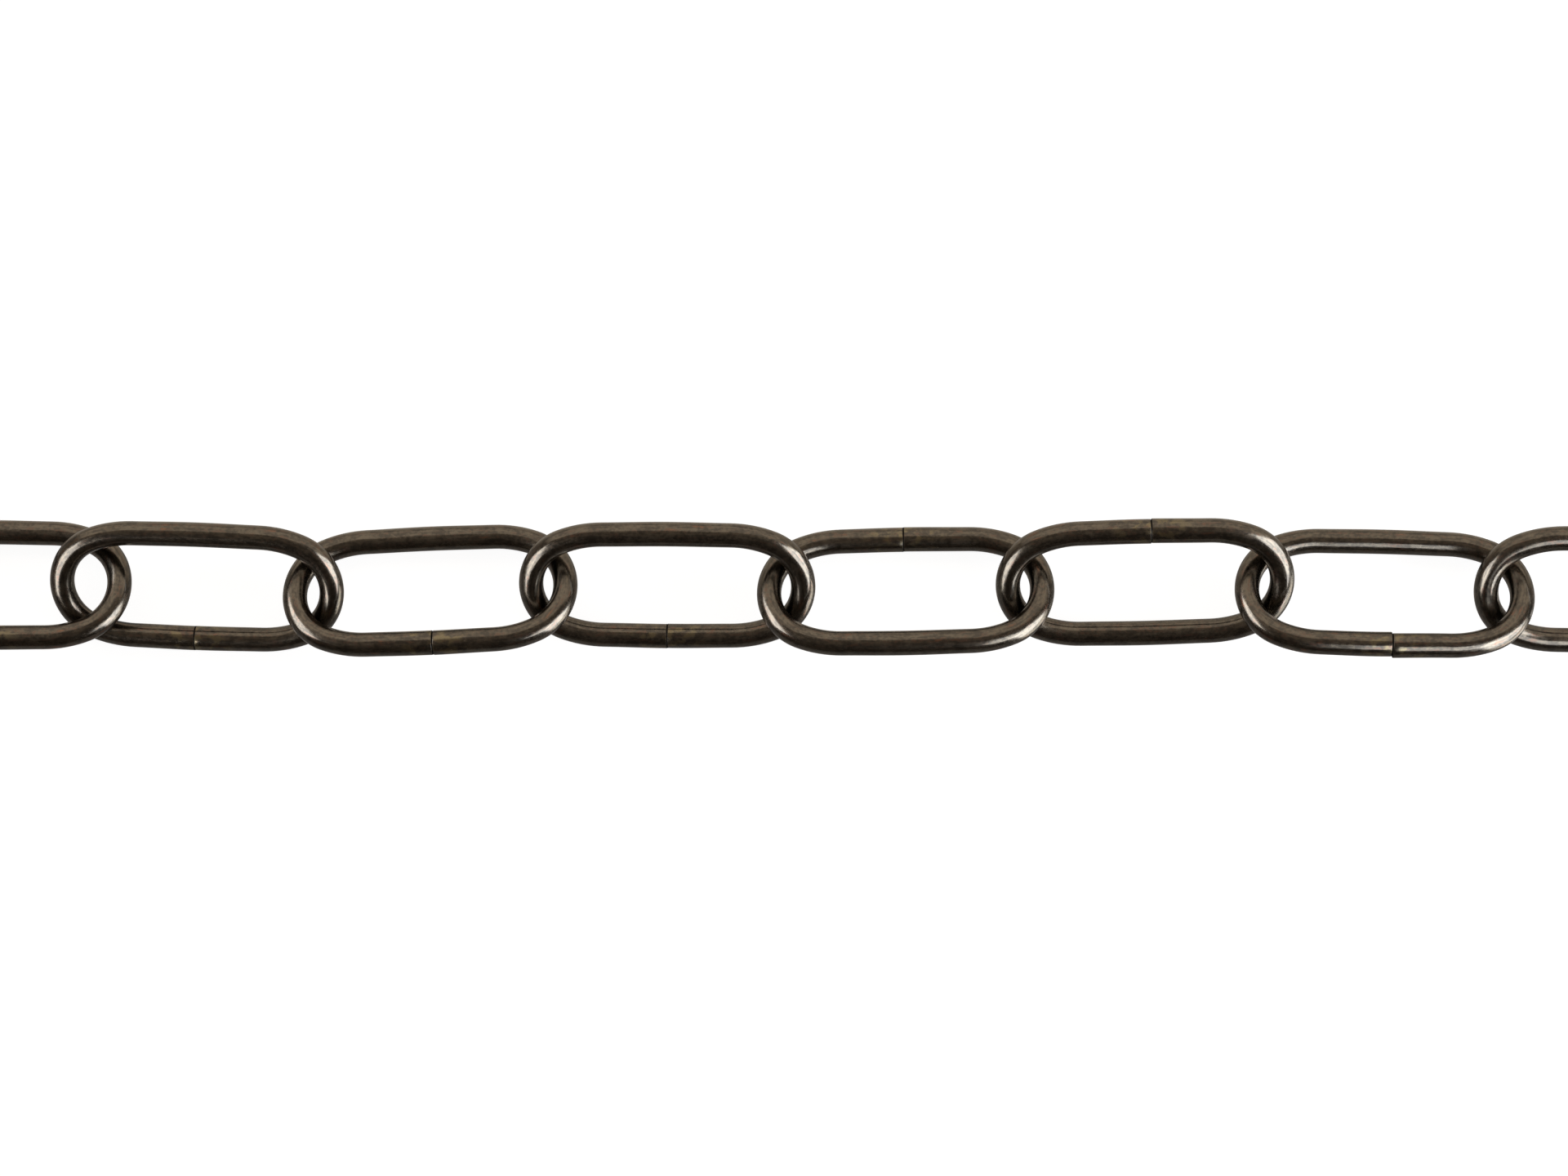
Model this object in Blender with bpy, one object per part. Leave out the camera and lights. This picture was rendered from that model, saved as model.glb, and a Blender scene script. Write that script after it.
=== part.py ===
# Open-link oval chain, laid out straight on a level surface: sixteen bent-wire links.
# Metres, +Z up. The chain runs along +X, the surface it lies on is Z = 0, and the
# origin is at the middle of its bounding box on that surface.

import bpy
import bmesh
from math import cos, pi, radians, sin
from mathutils import Matrix, Vector

# Driving dimensions of one link.
WIRE = 0.003                 # wire thickness, across the flats of the section
LINK_LENGTH = 0.037          # outside length
LINK_WIDTH = 0.0171          # outside width
BAR_LENGTH = 0.016           # straight part of each side bar
SEAM_GAP = 0.0002            # butt joint in the middle of one side bar
SHOULDER_TURN = radians(24)  # the crown turns this far on its wide shoulder arc

# How a regular link lies: one side bar down on the surface, the other leaning up on its
# neighbours, a little off the chain's middle line and a little short of taut.
LEAN = 26                    # degrees about its length
DRIFT = 0.45                 # mm towards its raised side
PITCH = 29.7                 # mm from its centre to the next link's

# Where a lifted link bears on the nose of the one before it: on the inner, lower side of
# that nose's wire, measured from the middle of the wire.
PIVOT_INWARD = 0.0012
PIVOT_BELOW = 0.0010

# Section of the wire and steps of its bends.
SIDES = 12
SHOULDER_STEPS = 2
NOSE_STEPS = 7

# Each link: lean and turn about Z in degrees, drift and pitch in mm, and whether its seam
# is in the raised bar. The ends of the chain lie plainly in line; the fourth and the fifth
# link are pushed up to the ones after them, and the fifth lies flatter.
REGULAR = (LEAN, 0.0, DRIFT, PITCH)
LINKS = (
    (*REGULAR, False),
    (*REGULAR, True),
    (*REGULAR, False),
    (LEAN, 0.0, -DRIFT, 27.5, True),
    (21, -0.4, -0.46, 26.9, True),
    (23.8, -2.0, 0.21, 29.4, False),
    (23.3, 2.4, 0.27, 29.8, True),
    (26.5, -0.4, 0.37, 29.8, False),
    (24.8, 1.1, 0.33, 29.8, False),
    (27, 1.4, 0.74, 29.7, True),
    (26, -1.5, 0.58, 29.6, True),
    (26, -0.3, -0.18, 29.7, False),
    (*REGULAR, True),
    (*REGULAR, False),
    (*REGULAR, True),
    (*REGULAR, False),
)
MM = 0.001

# Worked out from the driving dimensions. A crown is three arcs, shoulder, nose, shoulder,
# that meet the bars and each other without a kink: its width and depth give both radii.
HALF_WIDTH = (LINK_WIDTH - WIRE) / 2
HALF_LENGTH = (LINK_LENGTH - WIRE) / 2
CROWN_DEPTH = HALF_LENGTH - BAR_LENGTH / 2
SINE = sin(SHOULDER_TURN)
COSINE = cos(SHOULDER_TURN)
SHOULDER_RADIUS = (CROWN_DEPTH * COSINE - HALF_WIDTH * (1 - SINE)) / (
    SINE * COSINE - (1 - SINE) * (1 - COSINE)
)
NOSE_RADIUS = (HALF_WIDTH - SHOULDER_RADIUS * (1 - COSINE)) / COSINE


def clear_scene():
    for old in list(bpy.data.objects):
        bpy.data.objects.remove(old, do_unlink=True)


def bronzed_iron():
    """Dark, browned iron wire: nearly black with a warm sheen."""
    material = bpy.data.materials.new("bronzed_iron")
    material.use_nodes = True
    shader = material.node_tree.nodes["Principled BSDF"]
    shader.inputs["Base Color"].default_value = (0.075, 0.058, 0.043, 1.0)
    shader.inputs["Metallic"].default_value = 0.9
    shader.inputs["Roughness"].default_value = 0.36
    return material


def push(bm, ring, reach):
    """Draw the wire straight on from its open end; return the new end ring."""
    edges = [part for part in ring if isinstance(part, bmesh.types.BMEdge)]
    made = bmesh.ops.extrude_edge_only(bm, edges=edges)["geom"]
    verts = [part for part in made if isinstance(part, bmesh.types.BMVert)]
    bmesh.ops.translate(bm, verts=verts, vec=reach)
    kept = set(verts)
    ends = [part for part in made if isinstance(part, bmesh.types.BMEdge)]
    return verts + [edge for edge in ends if set(edge.verts) <= kept]


def bend(bm, ring, centre, turn, steps):
    """Bend the wire on round a former standing at centre; return the new end ring."""
    return bmesh.ops.spin(
        bm, geom=ring, cent=centre, axis=(0, 0, 1), angle=turn, steps=steps, use_duplicate=False
    )["geom_last"]


def crown(bm, ring, side):
    """One round end of the link, at +X for side 1 and at -X for side -1."""
    shoulder_x = side * BAR_LENGTH / 2
    shoulder_y = HALF_WIDTH - SHOULDER_RADIUS
    nose_x = side * (HALF_LENGTH - NOSE_RADIUS)
    nose_turn = pi - 2 * SHOULDER_TURN
    first = (shoulder_x, -side * shoulder_y, 0)
    last = (shoulder_x, side * shoulder_y, 0)
    ring = bend(bm, ring, first, SHOULDER_TURN, SHOULDER_STEPS)
    ring = bend(bm, ring, (nose_x, 0, 0), nose_turn, NOSE_STEPS)
    return bend(bm, ring, last, SHOULDER_TURN, SHOULDER_STEPS)


def link_mesh(lean):
    """One bent-wire link in its own plane, its seam in the middle of the bar at -Y.

    The section is turned so that one of its flats faces straight down when the link leans.
    """
    bm = bmesh.new()
    half_bar = BAR_LENGTH / 2 - SEAM_GAP / 2
    flat_down = Matrix.Rotation(pi / SIDES - lean, 4, "Z")
    start = Matrix.Translation((SEAM_GAP / 2, -HALF_WIDTH, 0)) @ Matrix.Rotation(pi / 2, 4, "Y")
    corner = WIRE / 2 / cos(pi / SIDES)
    made = bmesh.ops.create_circle(
        bm, cap_ends=False, segments=SIDES, radius=corner, matrix=start @ flat_down
    )
    ring = made["verts"] + list(bm.edges)
    ring = push(bm, ring, Vector((half_bar, 0, 0)))
    ring = crown(bm, ring, 1)
    ring = push(bm, ring, Vector((-BAR_LENGTH, 0, 0)))
    ring = crown(bm, ring, -1)
    push(bm, ring, Vector((half_bar, 0, 0)))
    open_ends = [edge for edge in bm.edges if edge.is_boundary]
    bmesh.ops.holes_fill(bm, edges=open_ends, sides=SIDES)
    bmesh.ops.recalc_face_normals(bm, faces=bm.faces)
    mesh = bpy.data.meshes.new("link")
    bm.to_mesh(mesh)
    bm.free()
    mesh.shade_smooth()
    mesh.set_sharp_from_angle(angle=radians(60))
    return mesh


def laid_place(x, raised_side, lean, turn, drift, seam_raised):
    """World matrix of a link whose centre is at x and whose raised bar is at that side in Y."""
    height = HALF_WIDTH * sin(lean) + WIRE / 2
    place = Matrix.Translation((x, raised_side * drift, height)) @ Matrix.Rotation(turn, 4, "Z")
    if raised_side < 0:
        place = place @ Matrix.Rotation(pi, 4, "Z")
    place = place @ Matrix.Rotation(lean, 4, "X")
    if seam_raised:
        place = place @ Matrix.Rotation(pi, 4, "Z")
    return place


def make_links(material):
    """The sixteen links, laid in order along +X, then centred over the origin."""
    links = []
    x = 0.0
    for index, (lean, turn, drift, pitch, seam_raised) in enumerate(LINKS):
        raised_side = 1 if index % 2 else -1
        mesh = link_mesh(radians(lean))
        mesh.materials.append(material)
        link = bpy.data.objects.new(f"link_{index + 1:02d}", mesh)
        bpy.context.collection.objects.link(link)
        link.matrix_basis = laid_place(
            x, raised_side, radians(lean), radians(turn), drift * MM, seam_raised
        )
        links.append(link)
        x += pitch * MM
    points = [link.matrix_basis @ vert.co for link in links for vert in link.data.vertices]
    middle_x = (min(p.x for p in points) + max(p.x for p in points)) / 2
    middle_y = (min(p.y for p in points) + max(p.y for p in points)) / 2
    for link in links:
        link.matrix_basis = Matrix.Translation((-middle_x, -middle_y, 0)) @ link.matrix_basis
    return links


def pivot_place(carrier):
    """The hinge that a link gives to the next one: on its nose at +X, its X along the axis.

    The axis runs along the nose's wire, across the chain in the plane of the carrier.
    """
    place = carrier.matrix_basis
    ahead, across = place.to_3x3().col[0], place.to_3x3().col[1]
    ahead = ahead if ahead.x > 0 else -ahead
    axis = across if across.y < 0 else -across
    point = place.translation + ahead * (HALF_LENGTH - PIVOT_INWARD)
    point.z -= PIVOT_BELOW
    return Matrix.Translation(point) @ axis.to_track_quat("X", "Z").to_matrix().to_4x4()


def hang(link, carrier):
    """Hang a link on the one before it, through an empty that turns on their hinge."""
    pivot = bpy.data.objects.new(f"pivot_{link.name}", None)
    bpy.context.collection.objects.link(pivot)
    pivot.empty_display_size = WIRE
    pivot.matrix_basis = pivot_place(carrier)
    pivot.parent = carrier
    pivot.matrix_parent_inverse = carrier.matrix_basis.inverted()
    link.parent = pivot
    link.matrix_parent_inverse = pivot.matrix_basis.inverted()


def build():
    clear_scene()
    links = make_links(bronzed_iron())
    for carrier, link in zip(links, links[1:]):
        hang(link, carrier)


build()
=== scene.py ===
from math import cos, pi, radians, sin

import bmesh
import bpy
import numpy as np
from mathutils import Euler, Matrix, Vector


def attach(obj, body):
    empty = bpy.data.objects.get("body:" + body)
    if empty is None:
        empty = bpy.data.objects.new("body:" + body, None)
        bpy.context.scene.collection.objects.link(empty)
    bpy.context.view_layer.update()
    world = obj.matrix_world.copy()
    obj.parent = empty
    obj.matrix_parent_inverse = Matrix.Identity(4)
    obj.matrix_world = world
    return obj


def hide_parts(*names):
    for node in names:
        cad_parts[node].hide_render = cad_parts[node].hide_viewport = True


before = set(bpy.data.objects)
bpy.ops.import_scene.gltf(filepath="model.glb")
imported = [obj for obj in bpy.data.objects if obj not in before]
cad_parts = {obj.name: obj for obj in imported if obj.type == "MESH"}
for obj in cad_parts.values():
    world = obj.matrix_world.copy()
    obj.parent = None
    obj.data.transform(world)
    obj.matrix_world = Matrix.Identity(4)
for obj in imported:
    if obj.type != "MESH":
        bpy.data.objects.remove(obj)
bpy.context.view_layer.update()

# The wire: soft iron, drawn to 3 mm round, a few hundredths more with its finish, and fed off
# a coil. Each link is bent from the next stretch of it. Every point of the mesh keeps its
# place in that straight wire, so that the die's scratches run round the bends.
MM = 0.001
WIRE_RADIUS = 1.53 * MM
WIRE_SIDES = 48
STRAIGHT_STEP = 1.0 * MM
BEND_STEP = radians(3)
STRAIGHT_WIRE = "place_in_straight_wire"


def start_wire(bm, centre, fed):
    """The ring round the wire's cut end, facing +X; fed is its place along the coil."""
    straight = bm.verts.layers.float_vector.new(STRAIGHT_WIRE)
    facing = Matrix.Translation(centre) @ Matrix.Rotation(pi / 2, 4, "Y")
    ring = bmesh.ops.create_circle(
        bm, cap_ends=False, segments=WIRE_SIDES, radius=WIRE_RADIUS, matrix=facing
    )["verts"]
    for vert in ring:
        vert[straight] = Vector((fed, vert.co.y - centre.y, vert.co.z - centre.z))
    return ring + list(bm.edges)


def note_feed(bm, ring, length):
    """A fresh ring copies its place from the ring before it: move that on by the length fed."""
    straight = bm.verts.layers.float_vector[STRAIGHT_WIRE]
    for vert in ring:
        if isinstance(vert, bmesh.types.BMVert):
            vert[straight] = vert[straight] + Vector((length, 0, 0))
    return ring


def run_straight(bm, ring, reach):
    """Feed the wire straight on, along X, by reach; return its new end ring."""
    steps = max(1, round(abs(reach) / STRAIGHT_STEP))
    for _ in range(steps):
        edges = [part for part in ring if isinstance(part, bmesh.types.BMEdge)]
        made = bmesh.ops.extrude_edge_only(bm, edges=edges)["geom"]
        verts = [part for part in made if isinstance(part, bmesh.types.BMVert)]
        bmesh.ops.translate(bm, verts=verts, vec=(reach / steps, 0, 0))
        fresh = set(verts)
        ends = [part for part in made if isinstance(part, bmesh.types.BMEdge)]
        ring = verts + [edge for edge in ends if set(edge.verts) <= fresh]
        note_feed(bm, ring, abs(reach) / steps)
    return ring


def run_round(bm, ring, centre, radius, turn):
    """Bend the wire round a former standing at centre; return its new end ring."""
    steps = max(1, round(turn / BEND_STEP))
    for _ in range(steps):
        ring = bmesh.ops.spin(
            bm, geom=ring, cent=centre, axis=(0, 0, 1), angle=turn / steps, steps=1,
            use_duplicate=False,
        )["geom_last"]
        note_feed(bm, ring, radius * turn / steps)
    return ring


# One link: 83 mm of that wire bent round to an open oval, two straight side bars and two
# round crowns. A crown is three arcs, a wide shoulder, a tighter nose and a wide shoulder,
# which is the shape that the bending machine's former leaves.
LINK_LENGTH = 37.14 * MM
LINK_WIDTH = 17.16 * MM
BAR_LENGTH = 16.0 * MM
SHOULDER_TURN = radians(24)
HALF_WIDTH = LINK_WIDTH / 2 - WIRE_RADIUS
HALF_LENGTH = LINK_LENGTH / 2 - WIRE_RADIUS
CROWN_DEPTH = HALF_LENGTH - BAR_LENGTH / 2
SINE = sin(SHOULDER_TURN)
COSINE = cos(SHOULDER_TURN)
SHOULDER_RADIUS = (CROWN_DEPTH * COSINE - HALF_WIDTH * (1 - SINE)) / (
    SINE * COSINE - (1 - SINE) * (1 - COSINE)
)
NOSE_RADIUS = (HALF_WIDTH - SHOULDER_RADIUS * (1 - COSINE)) / COSINE
NOSE_TURN = pi - 2 * SHOULDER_TURN
BAR_BOW = 0.06 * MM
BOW_REACH = 10.0 * MM
CROWN_RUN = 2 * SHOULDER_RADIUS * SHOULDER_TURN + NOSE_RADIUS * NOSE_TURN


def run_crown(bm, ring, side):
    """One round end of the link, at +X for side 1 and at -X for side -1."""
    shoulder_y = HALF_WIDTH - SHOULDER_RADIUS
    first = (side * BAR_LENGTH / 2, -side * shoulder_y, 0)
    nose = (side * (HALF_LENGTH - NOSE_RADIUS), 0, 0)
    last = (side * BAR_LENGTH / 2, side * shoulder_y, 0)
    ring = run_round(bm, ring, first, SHOULDER_RADIUS, SHOULDER_TURN)
    ring = run_round(bm, ring, nose, NOSE_RADIUS, NOSE_TURN)
    return run_round(bm, ring, last, SHOULDER_RADIUS, SHOULDER_TURN)


def bow_bars(bm):
    """The bars spring back from the former: a little out in the middle, in at both ends."""
    for vert in bm.verts:
        bow = BAR_BOW * cos(pi * vert.co.x / BOW_REACH)
        vert.co.y += bow * vert.co.y / HALF_WIDTH


# The seam: the two cut ends of the wire, butted together near the middle of one side bar and
# not welded. The cutter rounds each end's edge a little, and the ends spring out of line by
# a few hundredths of a millimetre, on link_11 by a clear step.
SEAM_GAP = 0.002 * MM
CUT_EDGE_STEPS = 3
SPRING_REACH = 7.0 * MM
WIRE_RUN = 2 * BAR_LENGTH - SEAM_GAP + 2 * CROWN_RUN

# Each seam in mm: how far it lies off the middle of its bar, how far the cutter rounded the
# ends' edges, and how far the ends have sprung apart across the link and out of its plane.
USUAL_SEAM = (0.0, 0.06, 0.03, -0.02)
SEAMS = {
    "link_06": (-0.40, 0.06, 0.03, 0.02),
    "link_07": (0.45, 0.15, -0.04, 0.05),
    "link_08": (-0.10, 0.07, 0.02, -0.03),
    "link_09": (0.15, 0.06, 0.03, -0.02),
    "link_10": (-0.80, 0.14, 0.05, 0.05),
    "link_11": (0.80, 0.16, -0.24, 0.10),
}


def round_cut_ends(bm, reach):
    """Close the wire's two ends and round the edge of each."""
    rims = [edge for edge in bm.edges if edge.is_boundary]
    bmesh.ops.holes_fill(bm, edges=rims, sides=WIRE_SIDES)
    bmesh.ops.bevel(
        bm, geom=rims, offset=reach, offset_type="OFFSET", segments=CUT_EDGE_STEPS, profile=0.5,
        affect="EDGES", material=-1,
    )


def spring_ends(bm, fed, across, up):
    """Bend the last stretch of each half bar out of line, one end each way."""
    straight = bm.verts.layers.float_vector[STRAIGHT_WIRE]
    for vert in bm.verts:
        run = vert[straight].x - fed
        nearest = min(run, WIRE_RUN - run)
        share = max(0.0, 1 - nearest / SPRING_REACH) ** 2 / 2
        share = share if run < WIRE_RUN / 2 else -share
        vert.co.y += across * share
        vert.co.z += up * share


def link_mesh(name, fed):
    """One link in its own plane, the seam in its bar at -Y."""
    shift, rounding, across, up = (MM * part for part in SEAMS.get(name, USUAL_SEAM))
    bm = bmesh.new()
    half_bar = BAR_LENGTH / 2 - SEAM_GAP / 2
    ring = start_wire(bm, Vector((shift + SEAM_GAP / 2, -HALF_WIDTH, 0)), fed)
    ring = run_straight(bm, ring, half_bar - shift)
    ring = run_crown(bm, ring, 1)
    ring = run_straight(bm, ring, -BAR_LENGTH)
    ring = run_crown(bm, ring, -1)
    run_straight(bm, ring, half_bar + shift)
    bow_bars(bm)
    spring_ends(bm, fed, across, up)
    round_cut_ends(bm, rounding)
    bmesh.ops.recalc_face_normals(bm, faces=bm.faces)
    mesh = bpy.data.meshes.new(name)
    bm.to_mesh(mesh)
    bm.free()
    mesh.shade_smooth()
    return mesh


# The finish: bronzed iron, the whole chain browned nearly black in a bath, tumbled and
# lacquered. It is a dark metal with a warm cast, scratched finely along the wire, mottled
# where the bath took unevenly, with a few coppery flecks where it has rubbed.
DARK_BRONZE = (0.066, 0.058, 0.048, 1)
BROWN_BRONZE = (0.124, 0.107, 0.084, 1)
RED_BRONZE = (0.112, 0.078, 0.060, 1)
COPPER_FLECK = (0.210, 0.105, 0.060, 1)
FLECK_SHARE = 0.5
BRASSY_RUB = (0.230, 0.190, 0.100, 1)
RUB_SHARE = 0.45
RUB_REACH = 6.0 * MM
SEAM_BLACK = (0.010, 0.008, 0.007, 1)
SEAM_SOOT = 0.16 * MM
LEAST_ROUGHNESS = 0.11
PATCHY_ROUGHNESS = 0.10
SOOT_ROUGHNESS = 0.5
RELIEF_DEPTH = 0.008 * MM
LACQUER_SHARE = 0.2
LACQUER_ROUGHNESS = 0.08


class Socket:
    """One output of a material's node. Arithmetic on it adds Math nodes."""

    def __init__(self, tree, output):
        self.tree = tree
        self.output = output

    @classmethod
    def node(cls, tree, kind, settings, inputs, output=0):
        """Add a node: its settings first, then its inputs, each a value or a Socket."""
        made = tree.nodes.new(kind)
        for name, setting in settings.items():
            setattr(made, name, setting)
        for name, given in inputs.items():
            if isinstance(given, Socket):
                tree.links.new(given.output, made.inputs[name])
            else:
                made.inputs[name].default_value = given
        return cls(tree, made.outputs[output])

    def math(self, operation, first, second):
        return Socket.node(
            self.tree, "ShaderNodeMath", {"operation": operation}, {0: first, 1: second}
        )

    def __add__(self, other):
        return self.math("ADD", self, other)

    __radd__ = __add__

    def __sub__(self, other):
        return self.math("SUBTRACT", self, other)

    def __rsub__(self, other):
        return self.math("SUBTRACT", other, self)

    def __mul__(self, other):
        return self.math("MULTIPLY", self, other)

    __rmul__ = __mul__

    def ping_pong(self, reach):
        """Rise from 0 to reach and fall back again, over and over."""
        return self.math("PINGPONG", self, reach)

    def between(self, low, high):
        """0 up to low, 1 from high on, and a soft rise from one to the other."""
        return Socket.node(
            self.tree,
            "ShaderNodeMapRange",
            {"interpolation_type": "SMOOTHSTEP"},
            {"Value": self, "From Min": low, "From Max": high},
        )


def wire_noise(tree, place, along, through, detail, start):
    """Noise in the straight wire: so many waves a metre along it and through it."""
    stretched = Socket.node(
        tree,
        "ShaderNodeMapping",
        {},
        {"Vector": place, "Location": (start, start, start), "Scale": (along, through, through)},
    )
    return Socket.node(
        tree, "ShaderNodeTexNoise", {}, {"Vector": stretched, "Scale": 1.0, "Detail": detail}
    )


def mix_colours(tree, share, first, second):
    """The first where share is 0, the second where it is 1; a Mix node numbers its sockets."""
    return Socket.node(
        tree, "ShaderNodeMix", {"data_type": "RGBA"}, {0: share, 6: first, 7: second}, output=2
    )


def bronzed_iron():
    material = bpy.data.materials.new("bronzed_iron")
    material.use_nodes = True
    tree = material.node_tree
    shader = tree.nodes["Principled BSDF"]
    place = Socket.node(
        tree, "ShaderNodeAttribute", {"attribute_name": STRAIGHT_WIRE}, {}, output="Vector"
    )
    scratches = wire_noise(tree, place, along=70, through=5200, detail=3.0, start=0.0)
    streaks = wire_noise(tree, place, along=450, through=4200, detail=1.0, start=6.4)
    bands = wire_noise(tree, place, along=45, through=1500, detail=1.0, start=3.1)
    mottle = wire_noise(tree, place, along=700, through=900, detail=3.0, start=7.7)
    blotches = wire_noise(tree, place, along=2300, through=2900, detail=3.0, start=2.6)
    grain = wire_noise(tree, place, along=3400, through=4600, detail=2.0, start=1.9)
    flecks = wire_noise(tree, place, along=420, through=1900, detail=4.0, start=5.3)
    fed = Socket.node(tree, "ShaderNodeSeparateXYZ", {}, {"Vector": place}, output="X")
    from_seam = fed.ping_pong(WIRE_RUN / 2)

    browned = (mottle * 0.34 + blotches * 0.38 + streaks * 0.28).between(low=0.41, high=0.59)
    reddened = (flecks * 0.6 + blotches * 0.4).between(low=0.52, high=0.64)
    flecked = flecks.between(low=0.66, high=0.74) * FLECK_SHARE
    near_seam = 1 - from_seam.between(low=RUB_REACH / 3, high=RUB_REACH)
    rubbed = near_seam * mottle.between(low=0.50, high=0.62) * RUB_SHARE
    clear_of_seam = from_seam.between(low=SEAM_SOOT / 3, high=SEAM_SOOT)
    metal = mix_colours(tree, browned, DARK_BRONZE, BROWN_BRONZE)
    metal = mix_colours(tree, reddened, metal, RED_BRONZE)
    metal = mix_colours(tree, flecked, metal, COPPER_FLECK)
    metal = mix_colours(tree, rubbed, metal, BRASSY_RUB)
    metal = mix_colours(tree, clear_of_seam, SEAM_BLACK, metal)

    patchy = LEAST_ROUGHNESS + PATCHY_ROUGHNESS * mottle + PATCHY_ROUGHNESS * blotches
    roughness = patchy + SOOT_ROUGHNESS * (1 - clear_of_seam)
    height = scratches * 0.6 + streaks * 0.5 + grain * 0.3 + bands * 1.6 + mottle * 1.4
    relief = Socket.node(
        tree, "ShaderNodeBump", {}, {"Strength": 1.0, "Distance": RELIEF_DEPTH, "Height": height}
    )
    tree.links.new(metal.output, shader.inputs["Base Color"])
    tree.links.new(roughness.output, shader.inputs["Roughness"])
    tree.links.new(relief.output, shader.inputs["Normal"])
    tree.links.new((clear_of_seam * LACQUER_SHARE).output, shader.inputs["Coat Weight"])
    shader.inputs["Metallic"].default_value = 1.0
    shader.inputs["Coat Roughness"].default_value = LACQUER_ROUGHNESS
    return material


# The chain: each link threaded through the one before it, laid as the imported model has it.
# A link's own plane and its long way are read off its solid, and so is the side that the seam
# is on, because the solid's cut ends are the only points near the middle of its length.
SAME_POINT_DECIMALS = 7
NEAR_MIDDLE = 0.5 * MM


def laid_place(node):
    """World matrix of a laid link: X along it, Y across it with the seam at -Y.

    The corners of its solid spread furthest along it and least out of its plane.
    """
    corners = np.array([vert.co for vert in node.data.vertices])
    points = np.unique(corners.round(SAME_POINT_DECIMALS), axis=0)
    axes = np.linalg.eigh(np.cov(points.T))[1]
    along, across = Vector(axes[:, 2]), Vector(axes[:, 1])
    reach = points @ axes
    middle = (reach.min(axis=0) + reach.max(axis=0)) / 2
    cut_ends = np.abs(reach[:, 2] - middle[2]) < NEAR_MIDDLE
    if (reach[cut_ends, 1] - middle[1]).mean() > 0:
        across = -across
    if along.cross(across).z < 0:
        along = -along
    turned = Matrix((along, across, along.cross(across))).transposed()
    return Matrix.Translation(Vector(axes @ middle)) @ turned.to_4x4()


def lay_chain(finish):
    """Lay every link; return them in order along the chain."""
    chain = []
    for order, name in enumerate(sorted(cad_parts)):
        mesh = link_mesh(name, order * WIRE_RUN)
        mesh.transform(laid_place(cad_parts[name]))
        mesh.materials.append(finish)
        piece = bpy.data.objects.new(f"{name}_bronzed", mesh)
        bpy.context.scene.collection.objects.link(piece)
        chain.append(piece)
        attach(piece, name)
        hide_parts(name)
    return chain


chain = lay_chain(bronzed_iron())

# The table: a plain sheet of white acrylic, lit until it is all but pure white. Its polish
# shows only in what the metal mirrors of it: the pale screen behind, and a dimmer near side.
TABLE_REACH = 3.0
TABLE_WHITE = (0.28, 0.28, 0.28, 1)
TABLE_GLOW = 0.93
POLISH_WHITE = (0.56, 0.53, 0.47, 1)
POLISH_ROUGHNESS = 0.22
POLISH_GLOW = 0.20


def white_table():
    material = bpy.data.materials.new("white_table")
    material.use_nodes = True
    tree = material.node_tree
    tree.nodes.remove(tree.nodes["Principled BSDF"])

    def glowing(surface, strength):
        glow = Socket.node(
            tree, "ShaderNodeEmission", {}, {"Color": (1, 1, 1, 1), "Strength": strength}
        )
        return Socket.node(tree, "ShaderNodeAddShader", {}, {0: surface, 1: glow})

    seen = Socket.node(tree, "ShaderNodeBsdfDiffuse", {}, {"Color": TABLE_WHITE})
    polish = Socket.node(
        tree, "ShaderNodeBsdfGlossy", {}, {"Color": POLISH_WHITE, "Roughness": POLISH_ROUGHNESS}
    )
    mirrored = Socket.node(tree, "ShaderNodeLightPath", {}, {}, output="Is Glossy Ray")
    both = Socket.node(
        tree,
        "ShaderNodeMixShader",
        {},
        {0: mirrored, 1: glowing(seen, TABLE_GLOW), 2: glowing(polish, POLISH_GLOW)},
    )
    tree.links.new(both.output, tree.nodes["Material Output"].inputs["Surface"])
    return material


def lay_table():
    bm = bmesh.new()
    bmesh.ops.create_grid(bm, x_segments=1, y_segments=1, size=TABLE_REACH)
    mesh = bpy.data.meshes.new("table")
    bm.to_mesh(mesh)
    bm.free()
    mesh.materials.append(white_table())
    table = bpy.data.objects.new("table", mesh)
    bpy.context.scene.collection.objects.link(table)


lay_table()

# The light: soft boxes on the left, past the chain's right end and over that end, and a wide
# pale screen behind. The near side is left dark. Neighbouring links lean opposite ways, so
# the odd and the even ones get boxes of their own. The foot and the screen light everything.
LEFT_WHITE = (0.97, 0.99, 1.03)
LEFT_RADIANCE = 7.0
LEFT_SIZE = (0.60, 0.42)
END_WHITE = (0.93, 0.98, 1.05)
END_RADIANCE = 8.4
END_X = 0.25
SCREEN_WHITE = (1.0, 0.91, 0.79)


def links_lit(name, links):
    """Some of the links, as a collection for a soft box that lights nothing else."""
    lit = bpy.data.collections.new(name)
    for link in links:
        lit.objects.link(link)
    return lit


def soft_box(name, middle, aimed_at, size, radiance, colour, lit=None):
    """A rectangular soft box; radiance is how bright its face looks, 1 being white."""
    width, height = size
    light = bpy.data.lights.new(name, "AREA")
    light.shape = "RECTANGLE"
    light.size = width
    light.size_y = height
    light.energy = radiance * pi * width * height
    light.color = colour
    box = bpy.data.objects.new(name, light)
    bpy.context.scene.collection.objects.link(box)
    middle = Vector(middle)
    box.rotation_euler = (middle - Vector(aimed_at)).to_track_quat("Z", "Y").to_euler()
    box.location = middle
    box.visible_camera = False
    if lit is not None:
        box.light_linking.receiver_collection = lit


def left_box(name, middle, lit):
    """A soft box up on the left, aimed at the middle of the chain."""
    soft_box(name, middle, (0, 0, 0), LEFT_SIZE, LEFT_RADIANCE, LEFT_WHITE, lit)


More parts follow.
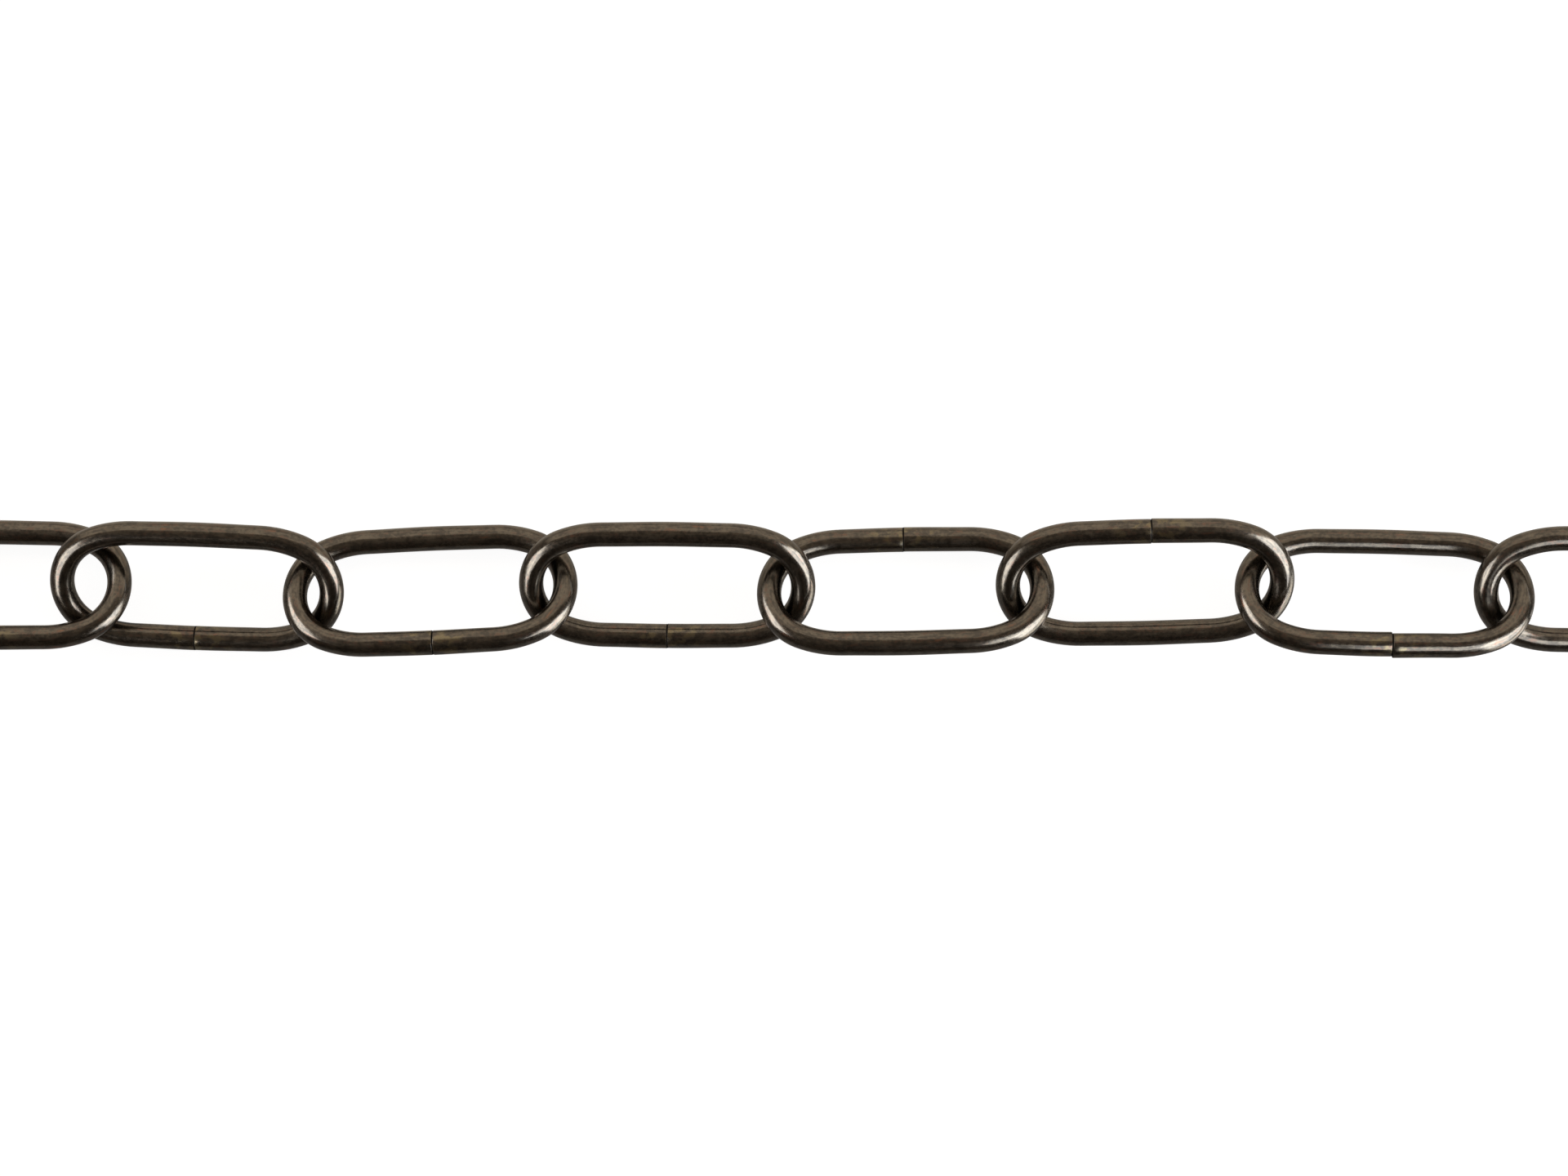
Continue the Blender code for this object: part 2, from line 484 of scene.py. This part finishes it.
def end_box(name, y, z, size, lit=None):
    """A soft box standing past the chain's right end and facing back along it."""
    soft_box(name, (END_X, y, z), (0, y, z), size, END_RADIANCE, END_WHITE, lit)


odd = links_lit("odd_links", chain[0::2])
even = links_lit("even_links", chain[1::2])
odd_and_last = links_lit("odd_and_last_links", chain[0:10:2] + chain[10:])
left_box("left_odd", middle=(-0.62, 0.09, 0.44), lit=odd)
left_box("left_even", middle=(-0.58, -0.26, 0.44), lit=even)
soft_box(
    "upper", middle=(0.185, -0.20, 0.28), aimed_at=(0.185, -0.20, 0), size=(0.18, 0.24),
    radiance=4.6, colour=END_WHITE, lit=odd_and_last,
)
end_box("end_odd", y=-0.155, z=0.215, size=(0.28, 0.17), lit=odd)
end_box("end_even", y=-0.01, z=0.24, size=(0.26, 0.22), lit=even)
end_box("foot_even", y=0.053, z=0.07, size=(0.135, 0.12), lit=even)
end_box("foot", y=-0.155, z=0.07, size=(0.28, 0.12))
soft_box(
    "back_screen", middle=(0.25, 0.92, 0.53), aimed_at=(0.25, 0, 0), size=(3.1, 1.2),
    radiance=0.78, colour=SCREEN_WHITE,
)

# The room round the light: brown and dim, brighter towards the screen at +Y. The dark sides
# of the wire mirror the near part of it.
ROOM_NEAR = (0.085, 0.068, 0.054, 1)
ROOM_FAR = (0.36, 0.30, 0.24, 1)


def surroundings():
    world = bpy.data.worlds.new("studio")
    world.use_nodes = True
    tree = world.node_tree
    way = Socket.node(tree, "ShaderNodeTexCoord", {}, {}, output="Generated")
    far = Socket.node(tree, "ShaderNodeSeparateXYZ", {}, {"Vector": way}, output="Y")
    room = mix_colours(tree, far.between(low=-0.8, high=0.6), ROOM_NEAR, ROOM_FAR)
    tree.links.new(room.output, tree.nodes["Background"].inputs["Color"])
    bpy.context.scene.world = world


surroundings()

# The camera: looks straight down on the chain from a little right of its middle, turned
# back a touch to the left, so that the links on the right come out slightly larger.
LENS = 100.0
CAMERA_PLACE = (0.0184, 0.0, 0.5483)
CAMERA_TURN = radians(2.24)


def set_camera():
    camera = bpy.data.cameras.new("camera")
    camera.lens = LENS
    stand = bpy.data.objects.new("camera", camera)
    bpy.context.scene.collection.objects.link(stand)
    stand.location = CAMERA_PLACE
    stand.rotation_euler = Euler((0, CAMERA_TURN, 0))
    bpy.context.scene.camera = stand
    bpy.context.scene.view_settings.view_transform = "Standard"


set_camera()
